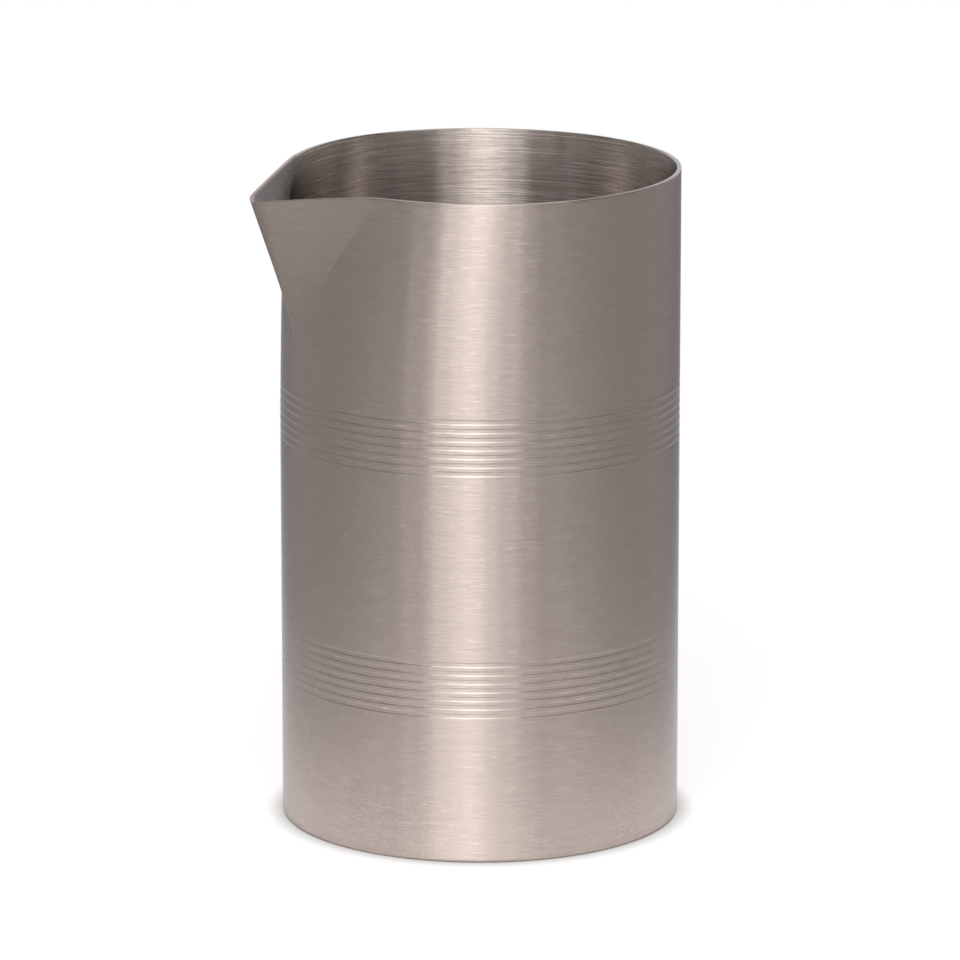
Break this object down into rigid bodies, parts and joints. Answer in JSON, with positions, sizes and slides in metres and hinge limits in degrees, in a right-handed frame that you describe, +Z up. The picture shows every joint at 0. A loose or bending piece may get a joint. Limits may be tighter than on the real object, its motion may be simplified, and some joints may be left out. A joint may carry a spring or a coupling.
{
  "type": "cocktail mixing tin",
  "caption": "Straight-sided open mixing tin in brushed steel sheet with two bands of turned grip grooves and a folded V spout at the rim for stirring and pouring drinks.",
  "frame": {"origin": "centre of the flat underside, on the sleeve's axis", "axes": "+Z up along the sleeve's axis from the base to the rim; the spout points along -X; the X-Z plane is the mirror plane"},
  "size_m": [0.0971, 0.089, 0.1456],
  "materials": {
    "sleeve_steel": "brushed around the tin, satin",
    "spout_steel": "brushed around the tin, satin",
    "base_steel": "brushed in rings, satin"
  },
  "bodies": {
    "root": {"wall_sleeve": "sleeve_steel", "pouring_spout": "spout_steel", "base_pan": "base_steel"}
  },
  "joints": []
}
